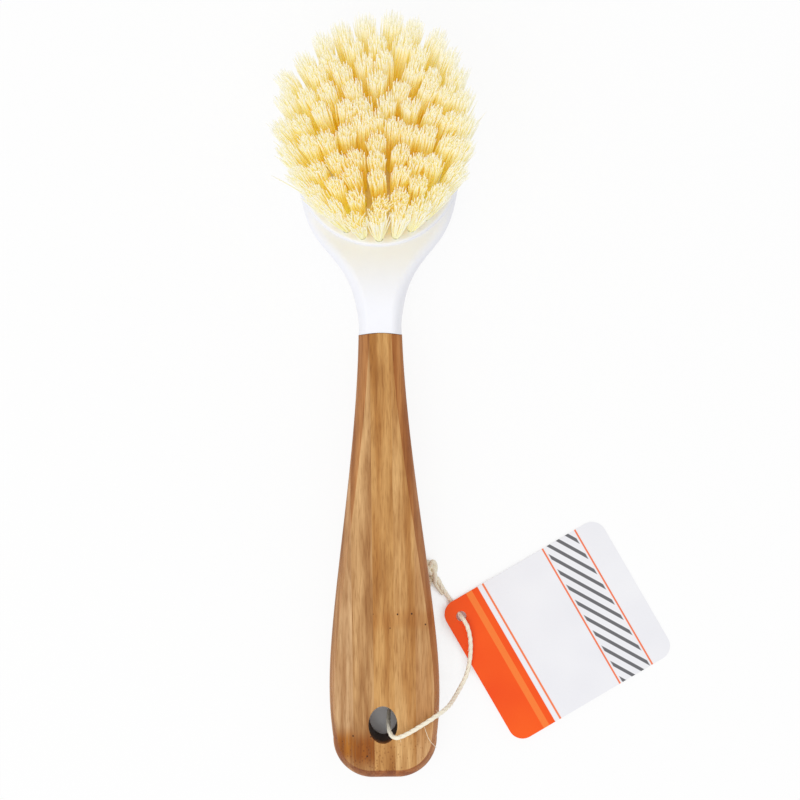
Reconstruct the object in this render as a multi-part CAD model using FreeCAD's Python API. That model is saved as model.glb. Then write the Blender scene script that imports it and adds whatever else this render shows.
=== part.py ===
import FreeCAD, Part
import math
import os

# A dish brush lying on its back: a laminated bamboo handle, a moulded head with splayed
# bristle tufts, and a card tag on a knotted string through the hang hole.
# Millimetres. +Y runs along the brush towards the head, +Z up towards the bristle tips.
# The brush is built with the handle's flat back on z = 0 and the end of the neck at y = 0,
# then laid on the table, where it rests on the butt of the handle and the back of the head.

# Handle
handle_length = 149.2
handle_width = 37.0
palm_from_neck = 118.2          # where the handle is widest
thickness_at_neck = 13.0
thickness_at_butt = 14.0
butt_corner_length = 14.0
butt_corner_drop = 1.05         # how far the sides have come in where the corners start
butt_flat_width = 10.0
butt_corner_middle = (0.66, 0.745)  # share of the corner's length and width, flatter than a circle
band_at_neck = 3.6              # width of the rounded side band beside the flat faces
band_at_palm = 1.9
band_at_butt_back = 2.7
band_at_butt_front = 3.9
shoulder_crown = 0.9            # bulge of the handle's end where it meets the neck
strip_width = 7.0               # one lamination of the bamboo block
# Swell of the handle from neck to palm: share of the way, share of the widening.
handle_swell = [(0.31, 0.24), (0.58, 0.58), (0.82, 0.88), (1.0, 1.0)]

# Hang hole
hole_width = 9.7
hole_length = 12.7
hole_from_butt = 19.3
hole_offset = -0.6

# Joint between handle and neck
neck_width = 14.4
tenon_length = 18.0
tenon_thickness = 7.0
tenon_chamfer = 0.8
tenon_clearance = 0.1
mouth_gap = 0.15

# Head
head_width = 54.6
head_length = 59.0              # along the tilted bed
head_thickness = 8.5
head_rim_depth = 4.5            # depth of the nearly straight side wall
head_rim_inset = 0.4
head_back_inset = 7.5
head_edge_round = 0.8
face_tilt = 22.2                # bed against the handle's back
neck_reach = 57.2               # neck end to the middle of the bed
bed_height = -0.5               # middle of the bed above the handle's back
shoulder_drop = 1.3             # the flared neck stays this far below the bed
neck_bury = 0.7                 # the flared neck stays this far inside the head's back
neck_top_blend = 34.0
neck_back_blend = 50.0
shoulder_band = 5.0             # rounded side band of the flare at its fullest
oval_handle = 0.5523            # share of a side at which a curve's handle draws a quarter oval
# Flare of the neck: share of the reach, share of the widening, share of the full band.
neck_flare = [
    (0.00, 0.0, 0.0), (0.14, 0.02, 0.0), (0.25, 0.09, 0.3), (0.36, 0.23, 0.6),
    (0.46, 0.44, 1.0), (0.57, 0.69, 1.0), (0.71, 0.87, 0.3), (0.89, 0.98, -0.4),
]

# Bristle tufts, in rings of five more tufts each
ring_count = 5
tufts_per_ring = 5
field_side_margin = 5.1         # from the outer tufts to the edge of the bed
field_end_margin = 3.2
field_shift = -0.7              # of the whole field, towards the neck
tuft_height = 36.0
tuft_splay_ratio = 1.33         # spread of the tips against the roots
tuft_root_radius = 1.3
tuft_tip_radius = 2.6
tuft_sides = 10
hole_clearance = 0.12
hole_depth = 4.5
root_gap = 0.45                 # left under the fold of the tuft

# Flat-wire anchor that holds each folded tuft in its hole
anchor_length = 3.5
anchor_height = 1.5
anchor_thickness = 0.4
anchor_depth = 3.4

# Tag
tag_length = 62.5
tag_width = 53.0
tag_thickness = 0.45
tag_corner = 5.0
tag_turn = 29.4                 # the long edge against the X axis
tag_lift = 2.5                  # angle by which the string holds the card up
tag_hole_radius = 1.75
tag_hole_inset = (5.3, 5.9)     # from the card's short and long edge
tag_hole_place = (26.3, -72.5)

# String, a loop tied at the knot. The route lists its corners from the knot, under the handle,
# up the hang hole, over the front and the tag, down through the tag's hole and back.
string_radius = 0.65
string_route = [
    (15.9, -59.6, 1.8), (14.6, -66.0, 0.9), (12.0, -75.5, 0.7), (8.2, -86.0, 0.68),
    (4.4, -95.6, 0.69), (1.6, -102.9, 0.72), (1.2, -105.4, 4.6), (1.2, -107.4, 9.8),
    (1.5, -109.7, 15.2), (3.2, -111.4, 18.2), (7.0, -110.1, 18.0), (11.6, -107.4, 18.4),
    (16.8, -104.2, 18.2), (21.3, -101.6, 14.2), (23.4, -99.6, 8.6), (25.6, -96.6, 4.4),
    (27.9, -92.4, 4.0), (29.2, -86.5, 4.6), (29.4, -80.4, 4.5), (28.3, -75.4, 4.9),
    (26.6, -73.0, 4.3), (26.1, -72.2, 1.5), (24.4, -69.8, 0.72), (21.8, -65.8, 0.75),
    (19.6, -62.4, 1.2), (18.3, -59.4, 1.8),
]
arc_share = 0.45                # of the shorter run, taken up by each tangent arc
knot_ends = ((17.3, -61.0, 2.25), (16.0, -52.4, 2.25))
knot_radius = 2.2
knot_end_radius = 1.3

Vector = FreeCAD.Vector
origin = Vector(0, 0, 0)
x_axis = Vector(1, 0, 0)
z_axis = Vector(0, 0, 1)


def smooth(share):
    share = min(max(share, 0.0), 1.0)
    return share * share * (3.0 - 2.0 * share)


def mix(first, second, share):
    return first + (second - first) * share


def ellipse(width, length):
    """Closed oval about the origin, its width along X and its length along Y."""
    ends = [Vector(width / 2, 0, 0), Vector(0, length / 2, 0)]
    ends.sort(key=lambda end: end.Length)
    return Part.Wire(Part.Ellipse(ends[1], ends[0], origin).toShape())


# Handle

def handle_outline(level, band_share):
    """Plan outline of the handle at a level of its thickness, drawn in by a share of the side band."""
    overrun = 2.0 * shoulder_crown
    taper = (thickness_at_butt - thickness_at_neck) / handle_length

    def point(x, from_neck):
        return Vector(x, -from_neck, level * (thickness_at_neck + taper * from_neck))

    def band(from_neck):
        share = min(max(from_neck, 0.0) / palm_from_neck, 1.0)
        return band_share * mix(band_at_neck, band_at_palm, share)

    corner_start = handle_length - butt_corner_length
    side = [(-overrun, neck_width / 2)]
    side += [
        (share * palm_from_neck, mix(neck_width, handle_width, swell) / 2)
        for share, swell in handle_swell
    ]
    side.append((corner_start, handle_width / 2 - butt_corner_drop))
    half = [(from_neck, half_width - band(from_neck)) for from_neck, half_width in side]

    butt_band = mix(band_at_butt_back, band_at_butt_front, level)
    butt = handle_length - band_share * butt_band
    flat = butt_flat_width / 2 - band_share * band_at_palm / 2
    corner_width = half[-1][1]
    corner_middle = (
        mix(corner_start, butt, butt_corner_middle[0]),
        mix(flat, corner_width, butt_corner_middle[1]),
    )

    def edges(sign):
        curve = Part.BSplineCurve()
        curve.interpolate([point(sign * half_width, from_neck) for from_neck, half_width in half])
        corner = Part.Arc(
            point(sign * corner_width, corner_start),
            point(sign * corner_middle[1], corner_middle[0]),
            point(sign * flat, butt),
        )
        return [curve.toShape(), corner.toShape()]

    right = edges(1)
    left = edges(-1)
    butt_line = Part.makeLine(point(flat, butt), point(-flat, butt))
    neck_line = Part.makeLine(point(-half[0][1], -overrun), point(half[0][1], -overrun))
    return Part.Wire(Part.__sortEdges__(right + [butt_line] + left + [neck_line]))


def shoulder_cylinder(gap):
    """The upright cylinder that rounds the handle's end, or with a gap hollows the neck's mouth."""
    half = neck_width / 2
    radius = (half * half + shoulder_crown * shoulder_crown) / (2 * shoulder_crown)
    centre = Vector(0, shoulder_crown - radius, -handle_width)
    return Part.makeCylinder(radius + gap, 2 * handle_width, centre)


def handle_block():
    """The shaped handle before it is parted into its laminations."""
    outlines = [handle_outline(0.0, 1.0), handle_outline(0.5, 0.0), handle_outline(1.0, 1.0)]
    block = Part.makeLoft(outlines, True, False)
    end_box = Part.makeBox(
        2 * neck_width, 6 * shoulder_crown, 2 * handle_width,
        Vector(-neck_width, -shoulder_crown, -handle_width),
    )
    block = block.cut(end_box.cut(shoulder_cylinder(0.0)))
    hole_face = Part.Face(ellipse(hole_width, hole_length))
    hole_face.translate(Vector(hole_offset, hole_from_butt - handle_length, -thickness_at_butt))
    return block.cut(hole_face.extrude(Vector(0, 0, 3 * thickness_at_butt)))


def tenon(clearance):
    """The tongue that the middle lamination sends into the neck; with a clearance, its socket."""
    middle = thickness_at_neck / 2
    box = Part.makeBox(
        strip_width + 2 * clearance,
        tenon_length + shoulder_crown + clearance,
        tenon_thickness + 2 * clearance,
        Vector(-strip_width / 2 - clearance, -shoulder_crown, middle - tenon_thickness / 2 - clearance),
    )
    end_edges = [edge for edge in box.Edges if edge.BoundBox.YMin > tenon_length - tenon_chamfer]
    return box.makeChamfer(tenon_chamfer, end_edges)


def handle_strips():
    block = handle_block()
    names = ["far_left", "left", "middle", "right", "far_right"]
    strips = {}
    for index, name in enumerate(names):
        low = (index - 2.5) * strip_width
        high = low + strip_width
        if index == 0:
            low -= handle_width
        if index == len(names) - 1:
            high += handle_width
        slab = Part.makeBox(
            high - low, 2 * handle_length, 4 * thickness_at_butt,
            Vector(low, -1.5 * handle_length, -2 * thickness_at_butt),
        )
        strip = block.common(slab)
        if name == "middle":
            strip = strip.fuse(tenon(0.0)).removeSplitter()
        strips["handle_strip_" + name] = strip
    return strips


# Head

bed_place = FreeCAD.Placement(
    Vector(0, neck_reach, bed_height), FreeCAD.Rotation(x_axis, -face_tilt)
)


def bed_level(y):
    """Height of the tilted bed's plane at a distance from the neck's end."""
    return bed_height - (y - neck_reach) * math.tan(math.radians(face_tilt))


def head_plate():
    """The oval bed plate with its rounded back, level, with the bed at z = 0."""

    def oval(inset, depth):
        wire = ellipse(head_width - 2 * inset, head_length - 2 * inset)
        wire.translate(Vector(0, 0, -depth))
        return wire

    ovals = [
        oval(0.0, 0.0), oval(head_rim_inset, head_rim_depth), oval(head_back_inset, head_thickness),
    ]
    plate = Part.makeLoft(ovals, True, False)
    bed_edges = [edge for edge in plate.Edges if edge.BoundBox.ZMin > -head_rim_depth / 2]
    return plate.makeFillet(head_edge_round, bed_edges)


def neck_section(share, widening, band_share):
    """Cross-section of the neck: flat top and back, rounded sides."""
    y = share * neck_reach
    half_width = mix(neck_width, head_width, widening) / 2
    band = mix(band_at_neck, shoulder_band, band_share)
    slope = math.cos(math.radians(face_tilt))
    top = mix(thickness_at_neck, bed_level(y) - shoulder_drop, smooth(y / neck_top_blend))
    head_back = bed_level(y) - head_thickness / slope + neck_bury
    back = mix(0.0, head_back, smooth(y / neck_back_blend))
    flat = half_width - band

    middle = (top + back) / 2

    def quarter(sign, level):
        """A quarter of an oval that leaves the flat at this level without a crease."""
        curve = Part.BezierCurve()
        curve.setPoles([
            Vector(sign * flat, y, level),
            Vector(sign * mix(flat, half_width, oval_handle), y, level),
            Vector(sign * half_width, y, mix(middle, level, oval_handle)),
            Vector(sign * half_width, y, middle),
        ])
        return curve.toShape()

    back_line = Part.makeLine(Vector(-flat, y, back), Vector(flat, y, back))
    top_line = Part.makeLine(Vector(flat, y, top), Vector(-flat, y, top))
    sides = [quarter(sign, level) for sign in (1, -1) for level in (back, top)]
    return Part.Wire(Part.__sortEdges__([back_line, top_line] + sides))


def tuft_places():
    """Root of every tuft on the bed, ring by ring from the middle outwards."""
    field_width = head_width - 2 * field_side_margin
    field_length = head_length - 2 * field_end_margin
    rings = [[(0.0, field_shift)]]
    for ring in range(1, ring_count + 1):
        count = ring * tufts_per_ring
        reach = ring / ring_count / 2
        angles = [2 * math.pi * (index + 0.5 * (ring % 2)) / count for index in range(count)]
        rings.append([
            (field_width * reach * math.sin(angle), field_shift + field_length * reach * math.cos(angle))
            for angle in angles
        ])
    return rings


def along_tuft(root, height):
    """Point on a tuft's middle line at a height over the bed."""
    spread = mix(1.0, tuft_splay_ratio, height / tuft_height)
    return Vector(root[0] * spread, root[1] * spread, height)


def tuft(root):
    """One bundle of bristles: straight in its hole, flared to the trimmed tips."""

    def ring(height, radius):
        middle = along_tuft(root, height)
        corners = []
        for index in range(tuft_sides):
            angle = 2 * math.pi * index / tuft_sides
            corners.append(middle + Vector(radius * math.cos(angle), radius * math.sin(angle), 0))
        return Part.makePolygon(corners + corners[:1])

    rings = [
        ring(root_gap - hole_depth, tuft_root_radius),
        ring(0.0, tuft_root_radius),
        ring(tuft_height, tuft_tip_radius),
    ]
    return Part.makeLoft(rings, True, True)


def tuft_hole(root):
    bottom = along_tuft(root, -hole_depth)
    direction = along_tuft(root, tuft_height) - bottom
    radius = tuft_root_radius + hole_clearance
    return Part.makeCylinder(radius, hole_depth + tuft_height / 4, bottom, direction)


def anchor(root):
    """The flat wire across a hole that the tuft is folded over. It bites into both walls."""
    corner = along_tuft(root, -anchor_depth)
    corner -= Vector(anchor_length, anchor_thickness, anchor_height) / 2
    return Part.makeBox(anchor_length, anchor_thickness, anchor_height, corner)


def head_and_tufts():
    rings = tuft_places()
    roots = [root for ring in rings for root in ring]
    anchors = Part.makeCompound([anchor(root) for root in roots])

    # The plate is tilted and joined to the neck, then bored for the tufts and their anchors.
    plate = head_plate()
    plate.Placement = bed_place
    neck = Part.makeLoft([neck_section(*station) for station in neck_flare], True, False)
    head = plate.fuse(neck).removeSplitter()
    head = head.cut(shoulder_cylinder(mouth_gap)).cut(tenon(tenon_clearance))
    holes = Part.makeCompound([tuft_hole(root) for root in roots])
    holes.Placement = bed_place
    anchors.Placement = bed_place
    head = head.cut(holes).cut(anchors)

    pieces = {"head": head, "tuft_anchors": anchors}
    for index, ring in enumerate(rings):
        name = "tuft_ring_%d" % index if index else "tuft_middle"
        bundles = []
        for root in ring:
            wire = anchor(root)
            bundles.append(tuft(root).cut(wire))
        pieces[name] = Part.makeCompound(bundles)
        pieces[name].Placement = bed_place
    return pieces


# Laying the brush on the table

def lay_down(pieces):
    """Turns the brush about the heel of its butt until the back of the head meets the table,
    then puts the middle of its footprint at the origin."""
    heel = band_at_butt_back - handle_length
    angle = 0.0
    for _ in range(6):
        turn = FreeCAD.Placement(origin, FreeCAD.Rotation(x_axis, angle), Vector(0, heel, 0))
        head = pieces["head"].copy()
        head.Placement = turn.multiply(head.Placement)
        box = head.optimalBoundingBox(False, False)
        reach = neck_reach - heel
        angle -= math.degrees(math.atan2(box.ZMin, reach))
    turn = FreeCAD.Placement(origin, FreeCAD.Rotation(x_axis, angle), Vector(0, heel, 0))
    whole = FreeCAD.BoundBox()
    for shape in pieces.values():
        shape.Placement = turn.multiply(shape.Placement)
        whole.add(shape.optimalBoundingBox(False, False))
    shift = Vector(-(whole.XMin + whole.XMax) / 2, -(whole.YMin + whole.YMax) / 2, -whole.ZMin)
    for shape in pieces.values():
        shape.translate(shift)
    print("rest angle %.2f degrees, box %s" % (angle, whole))


# String, knot and tag

def string_path():
    """Straight runs joined by tangent arcs as large as the runs allow."""
    points = [Vector(*point) for point in string_route]
    edges = []
    radii = []
    start = points[0]
    for before, corner, after in zip(points, points[1:], points[2:]):
        back = before - corner
        ahead = after - corner
        trim = arc_share * min(back.Length, ahead.Length)
        back.normalize()
        ahead.normalize()
        half_turn = (math.pi - back.getAngle(ahead)) / 2
        radius = trim / math.tan(half_turn)
        radii.append(radius)
        bisector = back + ahead
        bisector.normalize()
        arc_start = corner + back * trim
        arc_end = corner + ahead * trim
        arc_middle = corner + bisector * (radius / math.cos(half_turn) - radius)
        edges.append(Part.LineSegment(start, arc_start).toShape())
        edges.append(Part.Arc(arc_start, arc_middle, arc_end).toShape())
        start = arc_end
    edges.append(Part.LineSegment(start, points[-1]).toShape())
    print("string arc radii", ["%.1f" % radius for radius in radii])
    return Part.Wire(edges)


def tag_string():
    path = string_path()
    start = Vector(*string_route[0])
    heading = Vector(*string_route[1]) - start
    section = Part.Wire(Part.makeCircle(string_radius, start, heading))
    tube = path.makePipeShell([section], True, False)
    expected = math.pi * string_radius ** 2 * path.Length
    print("string length %.1f, volume %.2f of %.2f expected" % (path.Length, tube.Volume, expected))
    return tube


def string_knot(tube):
    """The lump of the overhand knot, a barrel turned about its own line and closed round the string."""
    start = Vector(*knot_ends[0])
    heading = Vector(*knot_ends[1]) - start
    length = heading.Length
    swell = Part.Arc(
        Vector(knot_end_radius, 0, 0),
        Vector(knot_radius, 0, length / 2),
        Vector(knot_end_radius, 0, length),
    ).toShape()
    low = Part.makeLine(origin, Vector(knot_end_radius, 0, 0))
    high = Part.makeLine(Vector(knot_end_radius, 0, length), Vector(0, 0, length))
    axis = Part.makeLine(Vector(0, 0, length), origin)
    barrel = Part.Face(Part.Wire([low, swell, high, axis])).revolve(origin, z_axis, 360)
    barrel.Placement = FreeCAD.Placement(start, FreeCAD.Rotation(z_axis, heading))
    return barrel.cut(tube)


def tag_card():
    """The card with rounded corners and a punched hole, one short edge on the table."""
    card = Part.makeBox(tag_length, tag_width, tag_thickness)
    corners = [edge for edge in card.Edges if edge.BoundBox.ZLength > tag_thickness / 2]
    card = card.makeFillet(tag_corner, corners)
    hole_middle = Vector(tag_hole_inset[0], tag_width - tag_hole_inset[1], 0)
    hole_start = hole_middle - z_axis * tag_thickness
    card = card.cut(Part.makeCylinder(tag_hole_radius, 3 * tag_thickness, hole_start))
    lift = FreeCAD.Rotation(Vector(0, 1, 0), tag_lift)
    turn = FreeCAD.Rotation(z_axis, tag_turn)
    place = FreeCAD.Placement(origin, turn.multiply(lift))
    low = place.multVec(Vector(tag_length, 0, 0)).z
    hole_now = place.multVec(hole_middle)
    place.Base = Vector(tag_hole_place[0] - hole_now.x, tag_hole_place[1] - hole_now.y, -low)
    card.Placement = place
    return card


brush = handle_strips()
brush.update(head_and_tufts())
lay_down(brush)
string = tag_string()
parts = dict(brush)
parts["tag_string"] = string
parts["string_knot"] = string_knot(string)
parts["tag_card"] = tag_card()

os.makedirs("parts", exist_ok=True)
for node, shape in parts.items():
    shape.exportStep("parts/%s.step" % node)
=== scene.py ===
import math
import random

import bpy
from mathutils import Matrix, Vector


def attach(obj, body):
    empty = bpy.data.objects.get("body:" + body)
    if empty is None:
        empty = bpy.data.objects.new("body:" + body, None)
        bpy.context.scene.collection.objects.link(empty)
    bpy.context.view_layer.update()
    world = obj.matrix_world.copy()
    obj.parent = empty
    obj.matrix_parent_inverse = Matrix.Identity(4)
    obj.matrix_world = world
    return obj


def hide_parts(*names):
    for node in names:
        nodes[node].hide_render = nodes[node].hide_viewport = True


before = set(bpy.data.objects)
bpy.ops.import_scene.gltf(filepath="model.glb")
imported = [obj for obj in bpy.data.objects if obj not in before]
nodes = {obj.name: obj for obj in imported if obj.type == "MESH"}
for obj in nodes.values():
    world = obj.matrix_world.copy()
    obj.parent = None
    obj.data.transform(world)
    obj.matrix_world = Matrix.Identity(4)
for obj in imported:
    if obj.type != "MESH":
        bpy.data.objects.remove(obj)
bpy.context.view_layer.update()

# A dish brush seen from straight above: bamboo handle, white head, cream bristles, tag on twine.
# Metres, in the frame's axes: +Y along the brush to the head, +Z up to the bristle tips.

mm = 0.001

# Camera
camera_place = Vector((6.3, 1.2, 675.0)) * mm
camera_roll = math.radians(-0.645)
camera_lens = 89.0              # millimetres, like the sensor
camera_sensor = 36.0

# Light
world_level = 0.775
key_place = Vector((-0.30, -0.38, 0.90))
key_size = 0.9
key_watts = 3.5
bristle_bounces = 120           # light goes on from filament to filament inside the tufts

# Bed of the head and the tufts on it
bed_middle = Vector((0.0, 80.446, 15.394)) * mm
bed_tilt = math.radians(17.725)
field_width = 44.4 * mm
field_length = 52.6 * mm
field_shift = -0.7 * mm         # towards the neck
ring_count = 5
tufts_per_ring = 5
tuft_height = 36.0 * mm
tuft_splay_ratio = 1.33
tuft_root_radius = 1.21 * mm
tuft_tip_radius = 3.0 * mm      # a little wider than the solids
outer_tip_radius = 3.5 * mm     # of the outer ring, which has room to fan out

# Filaments of a tuft
filaments_per_tuft = 92
filament_radius = 0.20 * mm
filament_sides = 5
filament_steps = 6
filament_tip_share = 0.6        # of its radius, left at the tip
filament_sink = 1.5 * mm        # how far a filament reaches down into its hole
tip_raggedness = 0.9 * mm
trim_range = (-1.6, 0.6)        # times the raggedness, below and above the tuft's height
fan_power = 1.2                 # above 1, a tuft opens more towards its tips
tuft_lean = 0.8 * mm            # how far a whole tuft strays at its tips
far_splay = 0.18                # extra splay to the sides at the far end of the field
filament_stray = 0.38 * mm
flyaway_share = 0.012           # of the outer ring's filaments at the sides, which stick out
flyaway_from = 17.0 * mm        # from the middle line
flyaway_reach = (2.5 * mm, 6.0 * mm)
filament_bow = 0.35 * mm
outer_shade_skip = 0.72           # how far up the colour ramp the outer ring's roots start, with less painted shade
bristle_seed = 11

# String, with the route of its solid
string_route = [
    (15.9, -59.6, 1.8), (14.6, -66.0, 0.9), (12.0, -75.5, 0.7), (8.2, -86.0, 0.68),
    (4.4, -95.6, 0.69), (1.6, -102.9, 0.72), (1.2, -105.4, 4.6), (1.2, -107.4, 9.8),
    (1.5, -109.7, 15.2), (3.2, -111.4, 18.2), (7.0, -110.1, 18.0), (11.6, -107.4, 18.4),
    (16.8, -104.2, 18.2), (21.3, -101.6, 14.2), (23.4, -99.6, 8.6), (25.6, -96.6, 4.4),
    (27.9, -92.4, 4.0), (29.2, -86.5, 4.6), (29.4, -80.4, 4.5), (28.3, -75.4, 4.9),
    (26.6, -73.0, 4.3), (26.1, -72.2, 1.5), (24.4, -69.8, 0.72), (21.8, -65.8, 0.75),
    (19.6, -62.4, 1.2), (18.3, -59.4, 1.8),
]
ply_count = 3
ply_radius = 0.50 * mm
ply_offset = 0.28 * mm
ply_pitch = 6.5 * mm
ply_sides = 7
slim_at = 42.0 * mm             # along the twine, near the hang hole under the handle
slim_reach = 14.0 * mm
slim_loss = 0.14                # of its thickness there, to clear the handle as it swings
string_step = 0.45 * mm
hair_count = 46
hair_radius = 0.045 * mm
hair_reach = (0.8 * mm, 2.2 * mm)
hair_droop = 0.3 * mm
hair_seed = 5
loose_fibre_radius = 0.072 * mm
loose_fibre = [
    (13.2, -107.3, 18.2), (14.0, -110.6, 17.0), (15.4, -113.2, 15.9), (17.2, -114.9, 15.0),
]

# Knot
knot_middle = Vector((16.5, -56.7, 2.2)) * mm
knot_turn = math.radians(11.0)
knot_half = Vector((1.35, 3.7, 1.25)) * mm
knot_strand_radius = 0.80 * mm
knot_strand_sides = 10
knot_steps = 96
trefoil_across = 2.6            # about how far the plain curve of the knot reaches
trefoil_along = 2.8
tail_taper = 0.55               # of a tail's radius, lost towards its end
knot_tails = [
    [(17.2, -59.8, 1.9), (17.5, -61.3, 1.35), (18.65, -63.3, 1.0), (20.1, -65.3, 0.75)],
    [(16.4, -59.2, 1.6), (15.4, -60.4, 1.0), (14.0, -60.9, 0.9), (12.6, -60.8, 0.9)],
]

# Hang hole, for the painted shade on its wall
hole_middle = Vector((-0.6, -106.67, 0.0)) * mm
hole_half = Vector((4.85, 6.35, 1000.0)) * mm
hole_shade_range = (1.02, 1.08)     # of the hole's half sizes, from full painted shade to none

# Tag
tag_corner = Vector((44.7, -116.9, 0.0)) * mm   # where the hole end meets the lower long edge
tag_turn = math.radians(29.4)
tag_length = 62.5 * mm

# Print on the tag: places from the hole end, then the strokes, rules and edges of the border
orange_end = 15.5 * mm
stripe_start = 11.0 * mm
stripe_end = 13.2 * mm
rule_start = 17.2 * mm
rule_end = 17.9 * mm
border_start = 42.0 * mm
border_end = 53.0 * mm
stroke_step = 3.6 * mm
stroke_width = 1.3 * mm
stroke_slant = 0.6
border_rule_width = 0.6 * mm
print_edge = 0.12 * mm          # softness of a printed edge

# Floor
floor_reach = 3.0               # metres to each side
floor_level = -0.1 * mm
floor_glow = 0.90               # share of plain white in what the camera sees of open floor
shade_distance = 80.0 * mm      # within which things shade the floor
shade_range = (0.16, 0.42)      # share of open sky, from full shade to none

# Grain of the bamboo: scale of each noise across, along and through a strip
streak_scale = (300.0, 5.0, 300.0)
bundle_scale = (1000.0, 24.0, 1000.0)
fibre_scale = (2400.0, 150.0, 2400.0)
cloud_scale = (85.0, 32.0, 85.0)
speck_scale = (170.0, 140.0, 170.0)
fibre_end_scale = (210.0, 160.0, 210.0)

# Tones of the bamboo's details
node_tint = (0.76, 0.46, 0.08)
speck_colour = (0.060, 0.020, 0.006)
fibre_end_tint = (0.55, 0.42, 0.32)
fibre_end_strength = 0.65
fibre_ends_from = -110.0 * mm   # they show from here towards the butt
fibre_ends_full = -116.0 * mm
end_grain_tint = (0.74, 0.60, 0.46)
# painted shade on the wall of the hang hole
hole_shade_colour = (0.075, 0.034, 0.014)

# Strips: darker and lighter tone, tint of the side band (painted shade), place, reach and strength
# of the node
bamboo_strips = {
    "far_left": dict(
        dark=(0.38, 0.175, 0.060), light=(0.71, 0.450, 0.230), band=(1.00, 0.92, 0.86),
        node_y=-114.2 * mm, node_reach=7.5 * mm, node_strength=1.0, seed=1.0,
    ),
    "left": dict(
        dark=(0.37, 0.165, 0.050), light=(0.70, 0.420, 0.185), band=(0.80, 0.61, 0.47),
        node_y=-115.5 * mm, node_reach=7.5 * mm, node_strength=1.0, seed=2.0,
    ),
    "middle": dict(
        dark=(0.43, 0.183, 0.042), light=(0.64, 0.350, 0.120), band=(0.80, 0.60, 0.47),
        node_y=-72.2 * mm, node_reach=4.0 * mm, node_strength=0.20, seed=3.0,
    ),
    "right": dict(
        dark=(0.45, 0.200, 0.052), light=(0.69, 0.405, 0.160), band=(0.84, 0.62, 0.46),
        node_y=-71.6 * mm, node_reach=4.5 * mm, node_strength=0.28, seed=4.0,
    ),
    "far_right": dict(
        dark=(0.54, 0.275, 0.105), light=(0.76, 0.490, 0.245), band=(0.75, 0.55, 0.41),
        node_y=-71.9 * mm, node_reach=4.5 * mm, node_strength=0.30, seed=5.0,
    ),
}


# Materials

class Material:
    """A node material, with short calls for the nodes that the surfaces share."""

    def __init__(self, name):
        self.material = bpy.data.materials.new(name)
        self.material.use_nodes = True
        self.tree = self.material.node_tree
        self.shader = self.tree.nodes["Principled BSDF"]

    def node(self, kind, **settings):
        node = self.tree.nodes.new("ShaderNode" + kind)
        for name, value in settings.items():
            setattr(node, name, value)
        return node

    def feed(self, socket, value):
        if isinstance(value, bpy.types.NodeSocket):
            self.tree.links.new(value, socket)
        else:
            socket.default_value = value

    def place(self):
        return self.node("TexCoord").outputs["Object"]

    def scaled(self, vector, scale):
        node = self.node("Mapping")
        self.feed(node.inputs["Vector"], vector)
        node.inputs["Scale"].default_value = scale
        return node.outputs["Vector"]

    def noise(self, vector, scale=1.0, detail=2.0, seed=0.0):
        node = self.node("TexNoise", noise_dimensions="4D")
        self.feed(node.inputs["Vector"], vector)
        node.inputs["W"].default_value = seed
        node.inputs["Scale"].default_value = scale
        node.inputs["Detail"].default_value = detail
        return node.outputs["Fac"]

    def math(self, operation, first, second=0.0, clamp=False):
        node = self.node("Math", operation=operation, use_clamp=clamp)
        self.feed(node.inputs[0], first)
        self.feed(node.inputs[1], second)
        return node.outputs[0]

    def between(self, value, low, high):
        """0 below low, 1 above high, smooth in between."""
        node = self.node("MapRange", interpolation_type="SMOOTHSTEP")
        self.feed(node.inputs["Value"], value)
        node.inputs["From Min"].default_value = low
        node.inputs["From Max"].default_value = high
        return node.outputs["Result"]

    def ramp(self, value, stops):
        node = self.node("ValToRGB")
        elements = node.color_ramp.elements
        while len(elements) < len(stops):
            elements.new(0.5)
        for element, (position, colour) in zip(elements, stops):
            element.position = position
            element.color = (*colour, 1.0)
        self.feed(node.inputs["Fac"], value)
        return node.outputs["Color"]

    def mix(self, factor, first, second, blend="MIX"):
        node = self.node("Mix", data_type="RGBA", blend_type=blend)
        self.feed(node.inputs[0], factor)
        for socket, value in ((node.inputs[6], first), (node.inputs[7], second)):
            self.feed(socket, (*value, 1.0) if isinstance(value, tuple) else value)
        return node.outputs[2]

    def bump(self, height, strength, distance):
        node = self.node("Bump")
        self.feed(node.inputs["Height"], height)
        node.inputs["Strength"].default_value = strength
        node.inputs["Distance"].default_value = distance
        self.tree.links.new(node.outputs["Normal"], self.shader.inputs["Normal"])

    def split(self, vector):
        node = self.node("SeparateXYZ")
        self.feed(node.inputs["Vector"], vector)
        return node.outputs

    def strand(self):
        """Tone of a strand and the share of its length, from its UV map."""
        outputs = self.split(self.node("UVMap", uv_map="strand").outputs["UV"])
        return outputs["X"], outputs["Y"]

    def finish(self, colour, roughness):
        self.feed(self.shader.inputs["Base Color"], colour)
        self.feed(self.shader.inputs["Roughness"], roughness)
        return self.material


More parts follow.
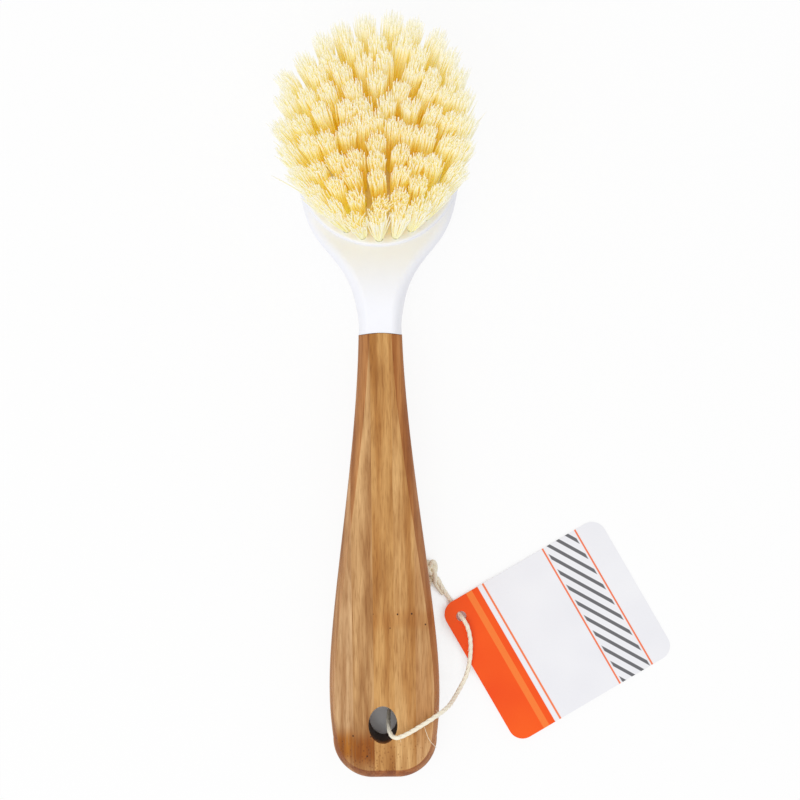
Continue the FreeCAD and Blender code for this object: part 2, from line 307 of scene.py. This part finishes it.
def bamboo(name, dark, light, band, node_y, node_reach, node_strength, seed):
    """Oiled bamboo: fibres along Y, specks at its node, painted shade on the side bands, dark end
    grain.
    """
    m = Material(name)
    place = m.place()
    streaks = m.noise(m.scaled(place, streak_scale), seed=seed)
    bundles = m.noise(m.scaled(place, bundle_scale), seed=seed)
    fibres = m.noise(m.scaled(place, fibre_scale), seed=seed)
    clouds = m.noise(m.scaled(place, cloud_scale), seed=seed)

    colour = m.mix(m.between(streaks, 0.32, 0.68), dark, light)
    bundle_tint = m.ramp(bundles, [
        (0.28, (0.84, 0.77, 0.68)), (0.50, (1.0, 1.0, 1.0)), (0.74, (1.09, 1.11, 1.13)),
    ])
    colour = m.mix(0.9, colour, bundle_tint, "MULTIPLY")
    fibre_tint = m.ramp(fibres, [
        (0.28, (0.74, 0.66, 0.56)), (0.48, (1.0, 1.0, 1.0)), (0.74, (1.13, 1.16, 1.18)),
    ])
    colour = m.mix(0.9, colour, fibre_tint, "MULTIPLY")
    cloud_tint = m.ramp(clouds, [(0.34, (0.74, 0.64, 0.50)), (0.56, (1.0, 1.0, 1.0))])
    colour = m.mix(0.85, colour, cloud_tint, "MULTIPLY")

    # The node: a brownish patch with a few dark specks in it.
    along = m.split(place)["Y"]
    from_node = m.math("ABSOLUTE", m.math("SUBTRACT", along, node_y))
    in_node = m.math("SUBTRACT", 1.0, m.between(from_node, 0.25 * node_reach, node_reach))
    patch = m.math("MULTIPLY", in_node, m.between(fibres, 0.05, 0.55))
    patch = m.math("MULTIPLY", patch, node_strength)
    colour = m.mix(patch, colour, m.mix(1.0, colour, node_tint, "MULTIPLY"))
    specks = m.node("TexVoronoi")
    m.feed(specks.inputs["Vector"], m.scaled(place, speck_scale))
    in_speck = m.math("SUBTRACT", 1.0, m.between(specks.outputs["Distance"], 0.20, 0.30))
    rare = m.between(m.split(specks.outputs["Color"])["X"], 0.80, 0.84)
    in_speck = m.math("MULTIPLY", m.math("MULTIPLY", in_speck, rare), m.between(in_node, 0.35, 0.6))
    colour = m.mix(in_speck, colour, speck_colour)

    # Fibre ends show as dots where the face runs out at the butt.
    ends = m.node("TexVoronoi")
    m.feed(ends.inputs["Vector"], m.scaled(place, fibre_end_scale))
    in_end = m.math("SUBTRACT", 1.0, m.between(ends.outputs["Distance"], 0.15, 0.34))
    near_butt = m.between(along, fibre_ends_from, fibre_ends_full)
    in_end = m.math("MULTIPLY", m.math("MULTIPLY", in_end, near_butt), fibre_end_strength)
    colour = m.mix(in_end, colour, m.mix(1.0, colour, fibre_end_tint, "MULTIPLY"))

    # The rounded side bands are darkened and reddened where they face sideways: painted shade. The
    # end grain is darker still.
    facing = m.split(m.node("NewGeometry").outputs["Normal"])
    on_band = m.math("SUBTRACT", 1.0, m.between(m.math("ABSOLUTE", facing["Z"]), 0.80, 0.97))
    colour = m.mix(on_band, colour, m.mix(1.0, colour, band, "MULTIPLY"))
    on_end = m.between(facing["Y"], -0.12, -0.55)
    colour = m.mix(on_end, colour, m.mix(1.0, colour, end_grain_tint, "MULTIPLY"))

    # Painted shade: the wall of the hang hole is darkened almost to black.
    from_hole = m.node("Mapping", vector_type="TEXTURE")
    m.feed(from_hole.inputs["Vector"], place)
    from_hole.inputs["Location"].default_value = hole_middle
    from_hole.inputs["Scale"].default_value = hole_half
    distance = m.node("VectorMath", operation="LENGTH")
    m.feed(distance.inputs[0], m.mix(1.0, from_hole.outputs["Vector"], (1.0, 1.0, 0.0), "MULTIPLY"))
    in_hole = m.math("SUBTRACT", 1.0, m.between(distance.outputs["Value"], *hole_shade_range))
    colour = m.mix(m.math("MULTIPLY", in_hole, on_band), colour, hole_shade_colour)

    m.bump(fibres, 0.15, 0.08 * mm)
    m.shader.inputs["Specular IOR Level"].default_value = 0.22
    return m.finish(colour, m.ramp(streaks, [(0.2, (0.60, 0.60, 0.60)), (0.8, (0.48, 0.48, 0.48))]))


def white_plastic():
    """Satin moulded plastic with a faint cloudiness and a fine spark-eroded grain."""
    m = Material("white_plastic")
    place = m.place()
    clouds = m.noise(place, scale=90.0, detail=2.0)
    grain = m.noise(place, scale=2600.0, detail=1.0)
    colour = m.ramp(clouds, [(0.3, (0.870, 0.880, 0.942)), (0.7, (0.893, 0.902, 0.960))])
    m.bump(grain, 0.10, 0.05 * mm)
    return m.finish(colour, m.ramp(grain, [(0.3, (0.30, 0.30, 0.30)), (0.7, (0.40, 0.40, 0.40))]))


def bristle():
    """Cream filaments that keep red light, so the gaps glow golden, with painted shade too: deeper
    golden towards their roots.
    """
    m = Material("bristle")
    tone, along = m.strand()
    # Painted shade: the colour deepens to golden towards the roots, where light arrives only
    # through many filaments.
    colour = m.ramp(along, [
        (0.00, (1.0, 0.970, 0.24)), (0.50, (1.0, 0.978, 0.55)),
        (0.85, (1.0, 0.988, 0.78)), (1.00, (1.0, 0.997, 0.97)),
    ])
    tint = m.ramp(tone, [(0.0, (1.0, 0.99, 0.93)), (1.0, (1.0, 1.0, 1.0))])
    colour = m.mix(1.0, colour, tint, "MULTIPLY")
    ripple = m.noise(m.scaled(m.place(), (500.0, 500.0, 90.0)), detail=1.0)
    m.shader.inputs["Specular IOR Level"].default_value = 0.0
    return m.finish(colour, m.ramp(ripple, [(0.3, (0.30, 0.30, 0.30)), (0.7, (0.42, 0.42, 0.42))]))


def twine():
    """Undyed cotton twine: soft cream fibres that follow the lay of each ply."""
    m = Material("twine")
    tone, along = m.strand()
    lay = m.node("CombineXYZ")
    m.feed(lay.inputs["X"], m.math("MULTIPLY", tone, 14.0))
    m.feed(lay.inputs["Y"], m.math("MULTIPLY", along, 1.3))
    fibres = m.noise(lay.outputs["Vector"], scale=2.5, detail=3.0)
    colour = m.ramp(fibres, [
        (0.25, (0.82, 0.71, 0.50)), (0.50, (0.95, 0.89, 0.73)), (0.75, (0.98, 0.95, 0.84)),
    ])
    m.bump(fibres, 0.5, 0.12 * mm)
    m.shader.inputs["Sheen Weight"].default_value = 0.25
    return m.finish(colour, m.ramp(fibres, [(0.3, (0.95, 0.95, 0.95)), (0.7, (0.80, 0.80, 0.80))]))


def wire():
    """Drawn flat wire of the tuft anchors."""
    m = Material("wire")
    drawn = m.noise(m.scaled(m.place(), (300.0, 6000.0, 6000.0)), detail=2.0)
    colour = m.ramp(drawn, [(0.3, (0.48, 0.48, 0.47)), (0.7, (0.62, 0.62, 0.60))])
    m.shader.inputs["Metallic"].default_value = 1.0
    return m.finish(colour, m.ramp(drawn, [(0.3, (0.32, 0.32, 0.32)), (0.7, (0.45, 0.45, 0.45))]))


def printed_card():
    """Coated white card with a plain orange end and a generic pattern of stripes and strokes."""
    m = Material("printed_card")
    place = m.node("Mapping", vector_type="TEXTURE")
    m.feed(place.inputs["Vector"], m.place())
    place.inputs["Location"].default_value = tag_corner
    place.inputs["Rotation"].default_value = (0.0, 0.0, tag_turn)
    flat = m.split(place.outputs["Vector"])
    across = flat["X"]
    up = flat["Y"]

    def band(value, low, high):
        inside = m.between(value, low - print_edge, low + print_edge)
        beyond = m.between(value, high - print_edge, high + print_edge)
        return m.math("SUBTRACT", inside, beyond, clamp=True)

    fibre = m.noise(place.outputs["Vector"], scale=1500.0, detail=3.0)
    clouds = m.noise(place.outputs["Vector"], scale=60.0, detail=1.0)
    colour = m.ramp(clouds, [(0.3, (0.845, 0.845, 0.885)), (0.7, (0.885, 0.885, 0.915))])
    orange = m.ramp(clouds, [(0.3, (0.90, 0.075, 0.004)), (0.7, (0.96, 0.110, 0.006))])
    colour = m.mix(band(across, -tag_length, orange_end), colour, orange)
    colour = m.mix(band(across, stripe_start, stripe_end), colour, (0.95, 0.21, 0.035))
    colour = m.mix(band(across, rule_start, rule_end), colour, (0.93, 0.22, 0.08))

    # A border of slanting grey strokes between thin orange rules, near the far end.
    slant = m.math("ADD", across, m.math("MULTIPLY", up, stroke_slant))
    stroke = band(m.math("PINGPONG", slant, stroke_step / 2), -tag_length, stroke_width / 2)
    stroke = m.math("MULTIPLY", stroke, band(across, border_start, border_end))
    colour = m.mix(stroke, colour, (0.15, 0.15, 0.16))
    for start in (border_start - 2.0 * border_rule_width, border_end + border_rule_width):
        rule = band(across, start, start + border_rule_width)
        colour = m.mix(rule, colour, (0.90, 0.20, 0.08))

    m.bump(fibre, 0.06, 0.05 * mm)
    m.shader.inputs["Specular IOR Level"].default_value = 0.2
    return m.finish(colour, m.ramp(fibre, [(0.3, (0.38, 0.38, 0.38)), (0.7, (0.48, 0.48, 0.48))]))


# Strands

def spline_points(name, route):
    """Points along the smooth line whose control points are the route's."""
    curve = bpy.data.curves.new(name, "CURVE")
    curve.dimensions = "3D"
    spline = curve.splines.new("NURBS")
    spline.points.add(len(route) - 1)
    for point, place in zip(spline.points, route):
        point.co = (*(Vector(place) * mm), 1.0)
    spline.order_u = 3
    spline.use_endpoint_u = True
    spline.resolution_u = 16
    line = bpy.data.objects.new(name, curve)
    mesh = bpy.data.meshes.new_from_object(line)
    points = [vertex.co.copy() for vertex in mesh.vertices]
    bpy.data.meshes.remove(mesh)
    bpy.data.objects.remove(line)
    bpy.data.curves.remove(curve)
    return points


def even_points(points, step):
    """The same line with its points one step apart."""
    result = [points[0]]
    travelled = 0.0
    for start, end in zip(points, points[1:]):
        run = (end - start).length
        while run > 0 and travelled + run >= step:
            share = (step - travelled) / run
            start = start.lerp(end, share)
            result.append(start)
            run = (end - start).length
            travelled = 0.0
        travelled += run
    result.append(points[-1])
    return result


def carried_frames(points):
    """Two directions across the line at each point, carried along it without twist."""
    side = None
    frames = []
    for index in range(len(points)):
        ahead = points[min(index + 1, len(points) - 1)] - points[max(index - 1, 0)]
        heading = ahead.normalized()
        if side is None:
            side = heading.orthogonal()
        side = (side - heading * side.dot(heading)).normalized()
        frames.append((side, heading.cross(side)))
    return frames


class Strands:
    """Gathers round strands into one mesh. Its UV map holds their tone and the way along them."""

    def __init__(self):
        self.points = []
        self.faces = []
        self.uvs = []

    def add(self, line, radii, tones, along):
        """One strand, closed at both ends, with as many sides as tones."""
        first = len(self.points)
        sides = len(tones)
        for index, (point, (side, up)) in enumerate(zip(line, carried_frames(line))):
            for corner in range(sides):
                angle = 2 * math.pi * corner / sides
                out = side * math.cos(angle) + up * math.sin(angle)
                self.points.append(point + out * radii[index])
                self.uvs.append((tones[corner], along[index]))
        for index in range(len(line) - 1):
            low = first + index * sides
            for corner in range(sides):
                after = (corner + 1) % sides
                high = low + sides
                self.faces.append((low + corner, low + after, high + after, high + corner))
        last = first + (len(line) - 1) * sides
        self.faces.append(tuple(first + corner for corner in reversed(range(sides))))
        self.faces.append(tuple(last + corner for corner in range(sides)))

    def add_twisted(self, line):
        """Three plies wound round each other along the line, slimmer near the hang hole."""
        frames = carried_frames(line)
        travelled = [0.0]
        for start, end in zip(line, line[1:]):
            travelled.append(travelled[-1] + (end - start).length)
        thickness = []
        for distance in travelled:
            away = (distance - slim_at) / slim_reach
            thickness.append(1 - slim_loss * max(0.0, 1 - away * away))
        for ply in range(ply_count):
            helix = []
            for point, (side, up), distance, share in zip(line, frames, travelled, thickness):
                angle = 2 * math.pi * (distance / ply_pitch + ply / ply_count)
                out = side * math.cos(angle) + up * math.sin(angle)
                helix.append(point + out * ply_offset * share)
            along = [distance / mm for distance in travelled]
            tones = [ply + corner / ply_sides for corner in range(ply_sides)]
            self.add(helix, [ply_radius * share for share in thickness], tones, along)

    def add_cord(self, line, taper=0.0):
        """The twine drawn tight into one round strand, which the taper thins towards its end."""
        along = [index * string_step / mm for index in range(len(line))]
        tones = [ply_count * corner / knot_strand_sides for corner in range(knot_strand_sides)]
        radii = [knot_strand_radius * (1 - taper * index / len(line)) for index in range(len(line))]
        self.add(line, radii, tones, along)

    def piece(self, name, material, body, slot, smooth=True):
        """All the strands so far, as one piece that rides on the body."""
        mesh = bpy.data.meshes.new(name)
        mesh.from_pydata(self.points, [], self.faces)
        layer = mesh.uv_layers.new(name="strand")
        corners = [0] * len(mesh.loops)
        mesh.loops.foreach_get("vertex_index", corners)
        layer.data.foreach_set("uv", [value for corner in corners for value in self.uvs[corner]])
        if smooth:
            mesh.shade_smooth()
        mesh.materials.append(material)
        piece = bpy.data.objects.new(name, mesh)
        bpy.context.collection.objects.link(piece)
        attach(piece, body)
        return piece


# Bristles

def bed_point(u, v, height):
    """A point of the head in the frame, from its place across, along and over the bed."""
    return bed_middle + Matrix.Rotation(-bed_tilt, 3, "X") @ Vector((u, v, height))


def ring_roots(ring):
    """Roots of one ring of tufts, or of the middle tuft for ring 0."""
    if ring == 0:
        return [(0.0, field_shift)]
    count = ring * tufts_per_ring
    width = field_width * ring / ring_count / 2
    length = field_length * ring / ring_count / 2
    angles = [2 * math.pi * (index + 0.5 * (ring % 2)) / count for index in range(count)]
    return [
        (width * math.sin(angle), field_shift + length * math.cos(angle))
        for angle in angles
    ]


def add_tuft(strands, root, outer, chance):
    """One tuft: filaments packed in the hole, fanned out and unevenly trimmed at the tips."""
    lean = Vector((chance.gauss(0, tuft_lean), chance.gauss(0, tuft_lean)))
    lean.x += root[0] * far_splay * max(0.0, root[1] / (field_length / 2)) ** 2
    tip_radius = outer_tip_radius if outer else tuft_tip_radius
    # The outer ring's roots start further up the colour ramp, so they get less painted shade.
    shade_skip = outer_shade_skip if outer else 0.0
    flyaways = flyaway_share if outer and abs(root[0]) > flyaway_from else 0.0
    turn = chance.uniform(0, 2 * math.pi)
    golden_angle = math.pi * (3 - math.sqrt(5))
    for index in range(filaments_per_tuft):
        share = math.sqrt((index + 0.5) / filaments_per_tuft)
        angle = turn + index * golden_angle
        across = Vector((math.cos(angle), math.sin(angle))) * share
        stray = Vector((chance.gauss(0, filament_stray), chance.gauss(0, filament_stray)))
        if chance.random() < flyaways:
            stray.x += math.copysign(chance.uniform(*flyaway_reach), root[0])
        bow = Vector((chance.gauss(0, filament_bow), chance.gauss(0, filament_bow)))
        height = tuft_height + chance.uniform(*trim_range) * tip_raggedness
        line = []
        shares = []
        for step in range(filament_steps + 1):
            part = step / filament_steps
            rise = -filament_sink + part * (height + filament_sink)
            spread = 1 + (tuft_splay_ratio - 1) * rise / tuft_height
            fan = tuft_root_radius + (tip_radius - tuft_root_radius) * part ** fan_power
            place = Vector(root) * spread + across * fan + (lean + stray) * part ** 2
            place += bow * math.sin(math.pi * part)
            line.append(bed_point(place.x, place.y, rise))
            shares.append(shade_skip + (1 - shade_skip) * part)
        radii = [filament_radius] * filament_steps + [filament_tip_share * filament_radius]
        tone = chance.random()
        strands.add(line, radii, [tone] * filament_sides, shares)


def bristles():
    """One piece of filaments in place of each node of tufts."""
    material = bristle()
    chance = random.Random(bristle_seed)
    for ring in range(ring_count + 1):
        node = "tuft_ring_%d" % ring if ring else "tuft_middle"
        strands = Strands()
        for root in ring_roots(ring):
            add_tuft(strands, root, ring == ring_count, chance)
        name = node.replace("tuft", "bristles")
        piece = strands.piece(name, material, "brush", "bristle", smooth=False)
        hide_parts(node)


# String and knot

def string_and_knot():
    """The twisted loop, its knot and its stray fibres, as pieces on the string loop."""
    material = twine()
    line = even_points(spline_points("route", string_route), string_step)
    strands = Strands()
    strands.add_twisted(line)
    string = strands.piece("twine_loop", material, "string_loop", "twine")
    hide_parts("tag_string")

    knot_strands = Strands()
    knot_strands.add_cord(knot_line())
    for tail in knot_tails:
        knot_strands.add_cord(even_points(spline_points("tail", tail), string_step), tail_taper)
    knot = knot_strands.piece("twine_knot", material, "string_loop", "twine")
    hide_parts("string_knot")

    hairs = string_hairs(line).piece("twine_hairs", material, "string_loop", "twine")


def knot_line():
    """An overhand knot drawn tight, as a trefoil with its ends left open."""
    turn = Matrix.Rotation(knot_turn, 3, "Z")
    line = []
    for step in range(knot_steps + 1):
        angle = 2 * math.pi * step / (knot_steps + 2)
        wide = (math.sin(angle) + 2 * math.sin(2 * angle)) / trefoil_across
        long = (math.cos(angle) - 2 * math.cos(2 * angle)) / trefoil_along
        high = -math.sin(3 * angle)
        place = Vector((wide * knot_half.x, long * knot_half.y, high * knot_half.z))
        line.append(knot_middle + turn @ place)
    return line


def string_hairs(line):
    """Stray fibres along the twine, and the long loose one over the handle."""
    chance = random.Random(hair_seed)
    strands = Strands()
    for _ in range(hair_count):
        start = line[chance.randrange(4, len(line) - 4)]
        out = Vector((chance.gauss(0, 1), chance.gauss(0, 1), abs(chance.gauss(0, 0.6))))
        out.normalize()
        reach = chance.uniform(*hair_reach)
        droop = Vector((chance.gauss(0, hair_droop), chance.gauss(0, hair_droop), 0.0))
        hair = [start + out * reach * part + droop * part * part for part in (0.0, 0.35, 0.7, 1.0)]
        strands.add(hair, [hair_radius] * 4, [0.5] * 3, [0.0, 0.5, 1.0, 1.5])
    fibre = even_points(spline_points("fibre", loose_fibre), string_step)
    strands.add(fibre, [loose_fibre_radius] * len(fibre), [0.6] * 4, [0.2] * len(fibre))
    return strands


# Carried-over solids

def dress(node, material):
    """Gives a solid this material alone."""
    materials = nodes[node].data.materials
    materials.clear()
    materials.append(material)


def solids():
    """Materials of the solids that are shown as they are."""
    for strip, look in bamboo_strips.items():
        dress("handle_strip_" + strip, bamboo("bamboo_" + strip, **look))
    dress("head", white_plastic())
    dress("tuft_anchors", wire())
    dress("tag_card", printed_card())


# Stage

def floor():
    """White floor to the camera, which still takes the shadow where little light reaches it."""
    m = Material("floor")
    m.shader.inputs["Base Color"].default_value = (0.9, 0.9, 0.9, 1.0)
    m.shader.inputs["Roughness"].default_value = 0.9
    m.shader.inputs["Specular IOR Level"].default_value = 0.0
    open_sky = m.node("AmbientOcclusion", samples=8)
    open_sky.inputs["Distance"].default_value = shade_distance
    path = m.node("LightPath")
    seen = m.math("MAXIMUM", path.outputs["Is Camera Ray"], path.outputs["Is Glossy Ray"])
    seen = m.math("MAXIMUM", seen, path.outputs["Is Transmission Ray"])
    bright = m.math("MULTIPLY", m.between(open_sky.outputs["AO"], *shade_range), floor_glow)
    glow = m.node("Emission")
    blend = m.node("MixShader")
    m.feed(blend.inputs[0], m.math("MULTIPLY", seen, bright))
    m.feed(blend.inputs[1], m.shader.outputs["BSDF"])
    m.feed(blend.inputs[2], glow.outputs["Emission"])
    m.feed(m.tree.nodes["Material Output"].inputs["Surface"], blend.outputs["Shader"])

    mesh = bpy.data.meshes.new("floor")
    corners = [(-1, -1), (1, -1), (1, 1), (-1, 1)]
    points = [(x * floor_reach, y * floor_reach, floor_level) for x, y in corners]
    mesh.from_pydata(points, [], [(0, 1, 2, 3)])
    mesh.materials.append(m.material)
    piece = bpy.data.objects.new("floor", mesh)
    bpy.context.collection.objects.link(piece)


def light():
    """White surroundings, dimmer as a light than to the camera, and one soft key lamp."""
    world = bpy.data.worlds.new("studio")
    bpy.context.scene.world = world
    world.use_nodes = True
    tree = world.node_tree
    path = tree.nodes.new("ShaderNodeLightPath")
    seen = tree.nodes.new("ShaderNodeMath")
    seen.operation = "MAXIMUM"
    tree.links.new(path.outputs["Is Camera Ray"], seen.inputs[0])
    tree.links.new(path.outputs["Is Transmission Ray"], seen.inputs[1])
    level = tree.nodes.new("ShaderNodeMapRange")
    tree.links.new(seen.outputs[0], level.inputs["Value"])
    level.inputs["To Min"].default_value = world_level
    background = tree.nodes["Background"]
    background.inputs["Color"].default_value = (1.0, 1.0, 1.0, 1.0)
    tree.links.new(level.outputs["Result"], background.inputs["Strength"])

    lamp = bpy.data.lights.new("key", "AREA")
    lamp.size = key_size
    lamp.energy = key_watts
    key = bpy.data.objects.new("key", lamp)
    key.location = key_place
    key.rotation_euler = (-key_place).to_track_quat("-Z", "Y").to_euler()
    bpy.context.collection.objects.link(key)


def camera():
    """Looks straight down at the brush, as in the photo."""
    lens = bpy.data.cameras.new("camera")
    lens.sensor_width = camera_sensor
    lens.lens = camera_lens
    lens.clip_start = 0.01
    eye = bpy.data.objects.new("camera", lens)
    eye.location = camera_place
    eye.rotation_euler = (0.0, 0.0, camera_roll)
    bpy.context.collection.objects.link(eye)
    bpy.context.scene.camera = eye


bpy.context.scene.view_settings.view_transform = "Standard"
bpy.context.scene.cycles.diffuse_bounces = bristle_bounces
bpy.context.scene.cycles.max_bounces = bristle_bounces
camera()
light()
floor()
string_and_knot()
bristles()
solids()
